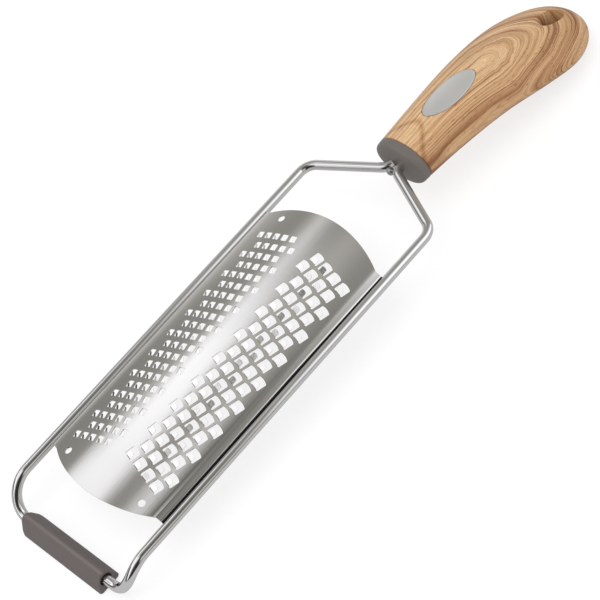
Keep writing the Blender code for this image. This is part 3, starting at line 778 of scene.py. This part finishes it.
def makeFoot():
    section = list(zip(foot["halfWidths"], foot["heights"]))
    outline = section + [(-x, z) for x, z in reversed(section)]

    def ring(y, share):
        return [Vector((barX + x * share, y, -wire["footDrop"] + z * share)) for x, z in outline]

    openEnd, closedEnd = foot["offset"] - foot["length"] / 2, foot["offset"] + foot["length"] / 2
    stations = [(openEnd, 0.0), (openEnd, 1 - foot["openEdge"] / foot["halfWidths"][1]),
                (openEnd + foot["openEdge"], 1.0), (closedEnd - foot["chamfer"], 1.0),
                (closedEnd, foot["endShare"]), (closedEnd, 0.0)]
    piece = skin("softFoot", [ring(y, share) for y, share in stations])
    edge = piece.modifiers.new("edge", "BEVEL")
    edge.width = foot["bevel"]
    edge.segments = foot["bevelSegments"]
    edge.limit_method = "ANGLE"
    edge.angle_limit = foot["bevelAngle"]
    edge.harden_normals = True
    applyModifiers(piece)

    # The open end is hollowed round the wire
    halfRecess, depth = foot["recessWidth"] / 2, foot["recessDepth"]
    rings = []
    for inward, radius in ((-foot["overrun"], 0.0), (-foot["overrun"], halfRecess + gap), (0.0, halfRecess),
                           (depth * foot["recessTaper"], wireRadius + gap), (depth, wireRadius + gap / 2),
                           (depth, 0.0)):
        rings.append([Vector((barX + radius * math.cos(a), openEnd + inward,
                              -wire["footDrop"] + radius * math.sin(a)))
                      for a in circleTurns(foot["recessSides"])])
    cut(piece, skin("footRecess", rings))
    return finishPiece(piece, plasticMaterial(footRubber), "foot_sleeve", smoothAngle=20)


makeFoot()


# Handle: an oval body that widens and droops to a round butt, with a hanging hole and a badge pocket

handle = {
    "length": 100.2, "shares": (0.0, 0.16, 0.41, 0.64, 0.82, 1.0),
    "width": 25.4, "widthShares": (1.0, 1.12, 1.357, 1.614, 1.842, 1.915),
    "height": 19.5, "heightShares": (1.0, 1.02, 1.03, 1.03, 1.09, 1.26),
    "droop": 18.9, "droopShares": (0.0, 0.04, 0.185, 0.478, 0.758, 0.952),
    "rootDrop": 1.4, "roundShare": 0.52, "roundPower": 2.22, "buttTrim": 0.5, "rootEdge": 0.35,
    "rings": 110, "ringPower": 1.8, "sides": 96,
}
hangingHole = {
    "margin": 13.0, "throat": (9.2, 6.6), "mouth": (13.0, 10.2), "turn": math.radians(17),
    "footFlare": 4.6, "flareShare": 0.12, "widest": 1.1, "overrun": 3.0, "sides": 48, "steps": 10,
}
badge = {
    "distance": 29.3, "length": 28.8, "width": 11.7, "thickness": 0.8, "proud": 0.15, "rim": 0.55,
    "pocket": 0.22, "pocketDepth": 0.75, "pocketTop": 2.0, "inner": 0.6, "sides": 96,
    "fieldDrop": 0.02, "rimRise": 0.04, "fieldShares": (0, 0.3, 0.6, 0.85), "rimFlat": (0.7, 0.35),
    "edgeIn": 0.1, "edgeDrops": (0.12, 0.3),
}
ferrule = {
    "room": 2.8, "length": 5.3, "edge": 0.3, "sides": 96,
    "distances": (0.0, 0.06, 0.22, 0.6, 1.2, 1.6, 2.4),
    "widthShares": (0.20, 0.32, 0.54, 0.73, 0.92, 0.953, 0.985),
    "heightShares": (0.20, 0.32, 0.54, 0.735, 0.93, 0.97, 0.99),
    "spigotLength": 10.0, "spigotWidth": 15.0, "spigotHeight": 9.2, "spigotDrop": 0.4,
}
seamX = neckX + ferrule["room"] + ferrule["length"]

# Growth rings: the pith runs under the badge and ends past it, where the rings close in arcs round
# the butt; depth is how dark the wood is at each distance from it
woodLook = {
    "pith": (50.0, 0.0), "arcShare": 0.47, "taper": 0.008, "across": 30.0,
    "ringDepths": (
        (0.0, 0.2), (2.5, 0.24), (3.4, 0.42), (4.2, 0.26), (6.4, 0.3), (7.2, 0.46), (7.7, 0.66),
        (8.2, 0.36), (9.8, 0.34), (10.9, 0.46), (11.4, 0.7), (11.9, 0.4), (13.4, 0.36), (14.8, 0.42),
        (15.6, 0.5), (16.4, 0.74), (17.0, 0.8), (17.4, 0.46), (18.8, 0.42), (19.3, 0.74), (19.8, 0.46),
        (21.2, 0.46), (21.8, 0.72), (22.4, 0.5), (24.2, 0.5), (24.8, 0.7), (25.4, 0.5), (29.0, 0.5)),
    "drift": (5.0, 1.5), "driftScale": 0.025,
    "curl": 3.6, "curlPlace": (54.0, 1.0), "curlReach": 17.0, "curlCore": 0.3, "curlScale": 0.2,
    "curlDetail": 1.5, "pull": 0.014, "sidePull": 0.03,
    # Streaks along the grain: scale across the rings, detail, offset, roughness
    "lines": (1.7, 4.0, 5.3, 0.7), "darkLines": (2.6, 3.0, 9.1, 0.55), "bands": (0.22, 2.0, 1.7, 0.55),
    "lineDepth": 1.3, "darkLineDepth": 0.62, "darkLineCut": (0.56, 0.68), "bandDepth": 0.3,
    "poreScale": (0.28, 2.4), "poreCut": (0.6, 0.7), "poreDepth": 0.34, "poreRelief": 0.15,
    "edgeDepth": 0.06, "edgeBand": (-8.0, -17.0),
    "crotch": 11.2, "crotchSlope": 0.78, "crotchWidth": 1.8, "crotchRound": 2.2, "crotchEnd": (17.0, 12.5),
    "crotchDepth": 0.3,
    "colours": ((0.0, (0.77, 0.56, 0.33)), (0.25, (0.61, 0.395, 0.212)), (0.5, (0.475, 0.28, 0.138)),
                (0.75, (0.325, 0.158, 0.066)), (1.0, (0.19, 0.074, 0.029))),
    "rough": (0.38, 0.5),
}
collarPlastic = {
    "name": "greyCollar", "light": (0.137, 0.119, 0.107), "dark": (0.122, 0.106, 0.096),
    "rough": (0.42, 0.52), "grainSize": 7.0, "grainDepth": 0.3,
}
badgeSilver = {
    "name": "satinSilver", "light": (0.88, 0.88, 0.86), "dark": (0.82, 0.82, 0.80), "metallic": 0.82,
    "rough": (0.34, 0.42), "stretch": 0.05, "fineness": 4.0, "markDepth": 0.2,
}
amberGlue = {
    "name": "amberGlue", "light": (0.62, 0.56, 0.40), "dark": (0.55, 0.48, 0.33),
    "rough": (0.25, 0.4), "grainSize": 1.0, "grainDepth": 0.3,
}


def woodMaterial(look):
    material, tree, shader = newMaterial("oliveLookWood", specular=0.35)
    place = levelPlace(tree, (seamX, 0, 0))
    u, v, w = split(tree, place)

    def added(first, second, share):
        return plus(tree, first, times(tree, second, share))

    def shifted(value, source, reach):
        return added(value, minus(tree, source, 0.5), reach * 2)

    # The grain drifts slowly, and curls in a round zone past the badge
    drift = noise(tree, place, look["driftScale"], output="Color")
    drift = addNode(tree, "ShaderNodeSeparateColor", {"Color": drift})
    farU = minus(tree, u, look["curlPlace"][0])
    farV = minus(tree, v, look["curlPlace"][1])
    curlZone = rise(tree, length(tree, farU, farV), look["curlReach"], look["curlReach"] * look["curlCore"])
    curlNoise = noise(tree, place, look["curlScale"], look["curlDetail"])
    curl = times(tree, minus(tree, curlNoise, 0.5), times(tree, curlZone, look["curl"]))

    # Distance from the pith
    past = minus(tree, shifted(u, drift.outputs[0], look["drift"][0]), look["pith"][0])
    before = maths(tree, "MAXIMUM", times(tree, past, -look["taper"]), 0.0)
    side = minus(tree, shifted(v, drift.outputs[1], look["drift"][1]), look["pith"][1])
    side = times(tree, side, plus(tree, before, 1.0))
    past = times(tree, maths(tree, "MAXIMUM", past, 0.0), look["arcShare"])
    ring = plus(tree, length(tree, past, side), curl)

    def streaks(scale, detail, offset, roughness):
        along = plus(tree, times(tree, u, look["pull"]), offset)
        where = join(tree, times(tree, ring, scale), along, times(tree, v, look["sidePull"]))
        return noise(tree, where, 1.0, detail, roughness)

    ringStops = [(distance / look["across"], depth) for distance, depth in look["ringDepths"]]
    depth = ramp(tree, maths(tree, "DIVIDE", ring, look["across"]), ringStops)
    lines = streaks(*look["lines"])
    depth = added(depth, minus(tree, lines, 0.5), look["lineDepth"])
    darkLines = rise(tree, streaks(*look["darkLines"]), *look["darkLineCut"])
    depth = added(depth, darkLines, look["darkLineDepth"])
    depth = added(depth, minus(tree, streaks(*look["bands"]), 0.5), look["bandDepth"])
    depth = added(depth, rise(tree, v, *look["edgeBand"]), look["edgeDepth"])

    # Two rings meet in a rounded point before the badge
    apexSide = length(tree, shifted(v, drift.outputs[1], look["drift"][1]), look["crotchRound"])
    apex = plus(tree, apexSide, times(tree, u, look["crotchSlope"]))
    apexFar = maths(tree, "DIVIDE", minus(tree, apex, look["crotch"]), look["crotchWidth"])
    apexLine = maths(tree, "SUBTRACT", 1.0, maths(tree, "ABSOLUTE", apexFar), clamp=True)
    apexLine = times(tree, apexLine, rise(tree, u, *look["crotchEnd"]))
    depth = added(depth, apexLine, look["crotchDepth"])

    # Short open pores along the grain
    along, across = look["poreScale"]
    poreWhere = join(tree, times(tree, u, along), times(tree, v, across), times(tree, w, across))
    poreNoise = noise(tree, poreWhere, 1.0)
    depth = added(depth, rise(tree, poreNoise, *look["poreCut"]), look["poreDepth"])

    tone = ramp(tree, depth, look["colours"])
    low, high = look["rough"]
    rough = plus(tree, times(tree, lines, high - low), low)
    feed(tree, shader, {"Base Color": tone, "Roughness": rough})
    bump(tree, shader, poreNoise, look["poreRelief"], bumpHeight["wood"])
    return material


def smoothValue(shares, values, share):
    i = 0
    while i < len(shares) - 2 and share > shares[i + 1]:
        i += 1

    def slope(k):
        low, high = max(k - 1, 0), min(k + 1, len(shares) - 1)
        return (values[high] - values[low]) / (shares[high] - shares[low])

    span = shares[i + 1] - shares[i]
    t = (share - shares[i]) / span
    level = (2 * t ** 3 - 3 * t ** 2 + 1) * values[i] + (3 * t ** 2 - 2 * t ** 3) * values[i + 1]
    return level + span * ((t ** 3 - 2 * t ** 2 + t) * slope(i) + (t ** 3 - t ** 2) * slope(i + 1))


def handleSection(share):
    closing = clampShare((share - handle["roundShare"]) / (1 - handle["roundShare"]))
    cap = (1 - closing ** handle["roundPower"]) ** (1 / handle["roundPower"])
    width, height, droop = (handle[size] * smoothValue(handle["shares"], handle[size + "Shares"], share)
                            for size in ("width", "height", "droop"))
    return width / 2 * cap, height / 2 * cap, -handle["rootDrop"] - droop


def handleTop(x, y):
    halfWidth, halfHeight, centre = handleSection((x - seamX) / handle["length"])
    return centre + halfHeight * math.sqrt(max(0.0, 1 - (y / halfWidth) ** 2))


# Oval patch that follows the top of the handle, through rings of (share of the half size, margin, height)
def badgeRings(stations):
    rings = []
    for share, margin, height in stations:
        ring = []
        for turn in circleTurns(badge["sides"]):
            x = seamX + badge["distance"] + (badge["length"] / 2 * share + margin) * math.cos(turn)
            y = (badge["width"] / 2 * share + margin) * math.sin(turn)
            ring.append(Vector((x, y, handleTop(x, y) + height)))
        rings.append(ring)
    return rings


# A slanted oval bore that flares out at both mouths
def hangingHoleCutter():
    hole = hangingHole
    _, halfHeight, centre = handleSection(1 - hole["margin"] / handle["length"])
    middle = Vector((seamX + handle["length"] - hole["margin"], 0, centre))
    lean = Matrix.Rotation(hole["turn"], 3, "Y")
    straight = halfHeight * hole["flareShare"]
    steps = [i / hole["steps"] for i in range(hole["steps"] + 1)]
    stations = [(-1, step) for step in reversed(steps)] + [(1, step) for step in steps]

    def ring(height, flare):
        sizes = zip(hole["throat"], hole["mouth"])
        size = [(narrow + (wide - narrow) * flare) / 2 for narrow, wide in sizes]
        footWards = flare * hole["footFlare"] / 2
        points = oval(0, size[0] + footWards, size[1], 0, hole["sides"])
        return [middle + lean @ Vector((point.y - footWards, point.z, height)) for point in points]

    def pole(height):
        return [middle + lean @ Vector((0, 0, height))] * hole["sides"]

    far, widest = halfHeight + hole["overrun"], hole["widest"]
    rings = [pole(-far), ring(-far, widest)]
    for side, step in stations:
        flare = widest * (1 - math.sqrt(1 - step ** 2))
        rings.append(ring(side * (straight + (halfHeight - straight) * step), flare))
    return skin("hangingHole", rings + [ring(far, widest), pole(far)])


def makeHandle():
    startX = seamX + gap / 2
    halfWidth, halfHeight, centre = handleSection(0.0)
    edge = handle["rootEdge"]
    rings = [oval(startX, 0, 0, centre, handle["sides"]),
             oval(startX, halfWidth - edge, halfHeight - edge, centre, handle["sides"])]
    for i in range(handle["rings"] + 1):
        share = 1 - (1 - i / handle["rings"]) ** handle["ringPower"]
        x = startX + edge + share * (handle["length"] - handle["buttTrim"] - gap / 2 - edge)
        rings.append(oval(x, *handleSection(share), handle["sides"]))
    piece = skin("woodHandle", rings)
    high, low, room, inner = badge["pocketTop"], -badge["pocketDepth"], badge["pocket"], badge["inner"]
    stations = [(0, 0, high), (inner, 0, high), (1, room, high),
                (1, room, low), (inner, 0, low), (0, 0, low)]
    cut(piece, skin("badgePocket", badgeRings(stations)))
    cut(piece, hangingHoleCutter())
    return finishPiece(piece, woodMaterial(woodLook), "handle_body", smoothAngle=40)


def makeFerrule():
    halfWidth, halfHeight, centre = handleSection(0.0)
    faceX = seamX - ferrule["length"]
    sides, edge, drop = ferrule["sides"], ferrule["edge"], -ferrule["spigotDrop"]
    rings = [oval(faceX, 0, 0, centre, sides)]
    for distance, wide, high in zip(ferrule["distances"], ferrule["widthShares"], ferrule["heightShares"]):
        rings.append(oval(faceX + distance, halfWidth * wide, halfHeight * high, centre, sides))
    rings.append(oval(seamX - edge, halfWidth, halfHeight, centre, sides))
    rings.append(oval(seamX, halfWidth - edge, halfHeight - edge, centre, sides))
    for x in (seamX, seamX + ferrule["spigotLength"]):
        rings.append(oval(x, ferrule["spigotWidth"] / 2, ferrule["spigotHeight"] / 2, drop, sides))
    rings.append(oval(seamX + ferrule["spigotLength"], 0, 0, drop, sides))
    collar = skin("collar", rings)
    return finishPiece(collar, plasticMaterial(collarPlastic), "ferrule",
                       smoothAngle=40)


# A thin oval plate with a plain field inside a low raised rim
def makeBadge():
    field, top = badge["proud"] - badge["fieldDrop"], badge["proud"] + badge["rimRise"]
    under, drops = top - badge["thickness"], badge["edgeDrops"]
    stations = [(share, 0, field) for share in badge["fieldShares"]] + [(1, -badge["rim"], field)]
    stations += [(1, -badge["rim"] * share, top) for share in badge["rimFlat"]]
    stations += [(1, -badge["edgeIn"], top - drops[0]), (1, 0, top - drops[1])]
    stations += [(1, 0, under), (0, 0, under)]
    piece = skin("ovalPlate", badgeRings(stations))
    return finishPiece(piece, steelMaterial(badgeSilver), "badge", smoothAngle=40)


makeHandle()
makeFerrule()
makeBadge()
glue = frame["nodes"]["tang_adhesive"]
glue.data.materials.clear()
glue.data.materials.append(plasticMaterial(amberGlue))
print("handle dressed")


# Floor, light and camera

room = {
    "floorSize": 6.0, "floorDrop": 0.0002, "floorRough": 0.9, "floorGlow": 0.75,
    "mirroredGlow": 0.4, "floorColour": (0.97, 0.97, 0.97, 1),
    "keyPower": 6.0, "keySize": 0.9, "keyPlace": (-0.35, -0.1, 1.2), "skyForMatte": 0.95,
}

# Light levels that polished metal meets, by the angle round the grater: 0 is straight up, 90 is level on
# the fine side and -90 level on the coarse side; one list for each direction along the grater, with
# how far that points to the handle (minus: to the foot)
studio = {
    "level": 1.42, "contrast": 1.2, "warm": (1.02, 1.0, 0.94), "cool": (0.985, 0.985, 1.015),
    "warmToCool": (0.4, 0.6), "behindStart": (-0.15, -0.55),
    "ahead": (
        (0.04, (
          (-180, 0.6), (-130, 0.6), (-100, 0.12), (-88, 0.12), (-74, 0.46), (-62, 0.62), (-52, 0.42),
          (-38, 0.14), (-12, 0.09), (3.6, 0.17), (5.2, 0.2), (6.6, 0.42), (8.2, 0.62), (9.8, 0.66),
          (11.5, 0.6), (13.2, 0.55), (15, 0.5), (17.2, 0.26), (23.4, 0.26), (26, 0.48), (28.8, 0.76),
          (31, 0.82), (50, 0.83), (52.6, 0.62), (54.6, 0.27), (72, 0.25), (88, 0.6), (98, 0.95),
          (112, 0.95), (126, 0.6), (180, 0.5))),
        (0.115, (
          (-180, 0.6), (-135, 0.65), (-100, 0.16), (-88, 0.1), (-74, 0.42), (-62, 0.56), (-52, 0.4),
          (-38, 0.14), (-22, 0.13), (-8, 0.18), (1.5, 0.235), (6, 0.25), (14.5, 0.4), (18, 0.42),
          (24, 0.39), (28, 0.42), (31, 0.56), (33.3, 0.95), (44, 1.0), (46.5, 0.62), (49, 0.34),
          (52, 0.28), (60, 0.26), (72, 0.23), (84, 0.6), (98, 0.95), (112, 0.95), (126, 0.6), (180, 0.5))),
        (0.175, (
          (-180, 0.62), (-138, 0.67), (-102, 0.16), (-88, 0.1), (-66, 0.42), (-36, 0.3), (-14, 0.26),
          (2, 0.26), (8, 0.25), (12, 0.28), (19, 0.38), (22, 0.41), (33, 0.38), (36, 0.42), (38.5, 0.53),
          (40.5, 0.63), (43, 0.61), (46.5, 0.42), (49, 0.32), (52, 0.27), (66, 0.27), (82, 0.55),
          (98, 0.85), (126, 0.6), (160, 0.42), (180, 0.5))),
        (0.205, (
          (-180, 0.65), (-142, 0.7), (-104, 0.16), (-92, 0.11), (-50, 0.75), (-40, 0.8), (-20, 0.5),
          (2, 0.27), (14, 0.33), (22, 0.35), (29, 0.26), (34, 0.22), (36.6, 0.34), (38.6, 0.4),
          (40.7, 0.51), (42.7, 0.51), (45, 0.45), (47, 0.36), (51, 0.26), (60, 0.28), (82, 0.5),
          (97, 0.75), (150, 0.4), (180, 0.5))),
        (0.3, (
          (-180, 0.65), (-142, 0.73), (-115, 0.3), (-88, 0.28), (-62, 0.92), (-30, 1.0), (-12, 0.5),
          (6, 0.29), (40, 0.28), (70, 0.45), (95, 0.85), (115, 0.85), (150, 0.5), (180, 0.5))),
    ),
    "behind": (
        (-0.3, (
          (-180, 0.6), (-120, 0.4), (-95, 0.2), (-85, 0.04), (-28, 0.04), (-14, 0.3), (-4, 0.75),
          (20, 0.82), (38.1, 0.92), (38.6, 0.16), (42.3, 0.16), (42.8, 0.95), (59, 1.0), (64, 0.3),
          (80, 0.08), (92, 0.6), (180, 0.6))),
        (-0.61, (
          (-180, 0.6), (-120, 0.4), (-95, 0.2), (-85, 0.04), (-35, 0.04), (-10, 0.3), (10, 0.75),
          (34, 0.95), (49, 1.0), (53, 0.3), (58, 0.1), (80, 0.08), (92, 0.6), (180, 0.6))),
    ),
}
view = {
    "lens": 122.85, "sensor": 36.0, "place": (-0.24442, -0.455028, 0.600953),
    "turn": (37.6132, 16.6425, -46.9109),
}


def makeFloor():
    bpy.ops.object.select_all(action="DESELECT")
    bpy.ops.mesh.primitive_plane_add(size=room["floorSize"], location=(0, 0, -room["floorDrop"]))
    floor = bpy.context.object
    floor.name = "studioFloor"
    material, tree, shader = newMaterial("paleFloor", specular=0.1)
    feed(tree, shader, {"Base Color": room["floorColour"], "Roughness": room["floorRough"]})
    rays = addNode(tree, "ShaderNodeLightPath")
    mirrored = times(tree, rays.outputs["Is Glossy Ray"], 1 - room["mirroredGlow"])
    strength = minus(tree, 1.0, mirrored)
    glow = addNode(tree, "ShaderNodeEmission", {"Color": (1, 1, 1, 1), "Strength": strength})
    seen = maths(tree, "MAXIMUM", rays.outputs["Is Camera Ray"], rays.outputs["Is Glossy Ray"])
    seen = maths(tree, "MAXIMUM", seen, rays.outputs["Is Transmission Ray"])
    share = times(tree, seen, room["floorGlow"])
    mixed = addNode(tree, "ShaderNodeMixShader", {0: share, 1: shader.outputs[0], 2: glow.outputs[0]})
    feed(tree, tree.nodes["Material Output"], {"Surface": mixed.outputs[0]})
    floor.data.materials.append(material)


# The studio as polished metal sees it: a bright overhead strip, grey walls and a dark side by the camera
def makeWorld():
    world = bpy.data.worlds.new("studio")
    bpy.context.scene.world = world
    world.use_nodes = True
    tree = world.node_tree
    direction = addNode(tree, "ShaderNodeTexCoord").outputs["Generated"]
    x, y, z = split(tree, direction)
    roll = maths(tree, "ARCTAN2", y, z)
    share = maths(tree, "DIVIDE", plus(tree, roll, math.pi), 2 * math.pi)

    def band(stops):
        return ramp(tree, share, [((angle + 180) / 360, level) for angle, level in stops])

    reach, stops = studio["ahead"][0]
    walls = band(stops)
    for nextReach, stops in studio["ahead"][1:]:
        walls = blendColours(tree, rise(tree, x, reach, nextReach), walls, band(stops))
        reach = nextReach
    for start, (reach, stops) in zip(studio["behindStart"], studio["behind"]):
        walls = blendColours(tree, rise(tree, x, start, reach), walls, band(stops))
    tint = blendColours(tree, rise(tree, walls, *studio["warmToCool"]), studio["warm"], studio["cool"])
    lit = times(tree, maths(tree, "POWER", walls, studio["contrast"]), studio["level"])
    walls = blendColours(tree, 1.0, lit, tint, "MULTIPLY")
    rays = addNode(tree, "ShaderNodeLightPath")
    shown = blendColours(tree, rays.outputs["Is Glossy Ray"], (room["skyForMatte"],) * 3, walls)
    shown = blendColours(tree, rays.outputs["Is Camera Ray"], shown, (1.0, 1.0, 1.0))
    feed(tree, tree.nodes["Background"], {"Color": shown, "Strength": 1.0})


def makeKey():
    lamp = bpy.data.lights.new("softKey", "AREA")
    lamp.energy = room["keyPower"]
    lamp.size = room["keySize"]
    key = addObject("softKey", lamp)
    key.location = room["keyPlace"]
    key.rotation_euler = (-Vector(room["keyPlace"])).to_track_quat("-Z", "Y").to_euler()
    key.visible_glossy = False


def makeCamera():
    data = bpy.data.cameras.new("photoCamera")
    data.sensor_width = view["sensor"]
    data.lens = view["lens"]
    camera = addObject("photoCamera", data)
    camera.location = view["place"]
    camera.rotation_euler = [math.radians(angle) for angle in view["turn"]]
    bpy.context.scene.camera = camera


makeFloor()
makeWorld()
makeKey()
makeCamera()
bpy.context.scene.view_settings.view_transform = "Standard"
print("stage ready")
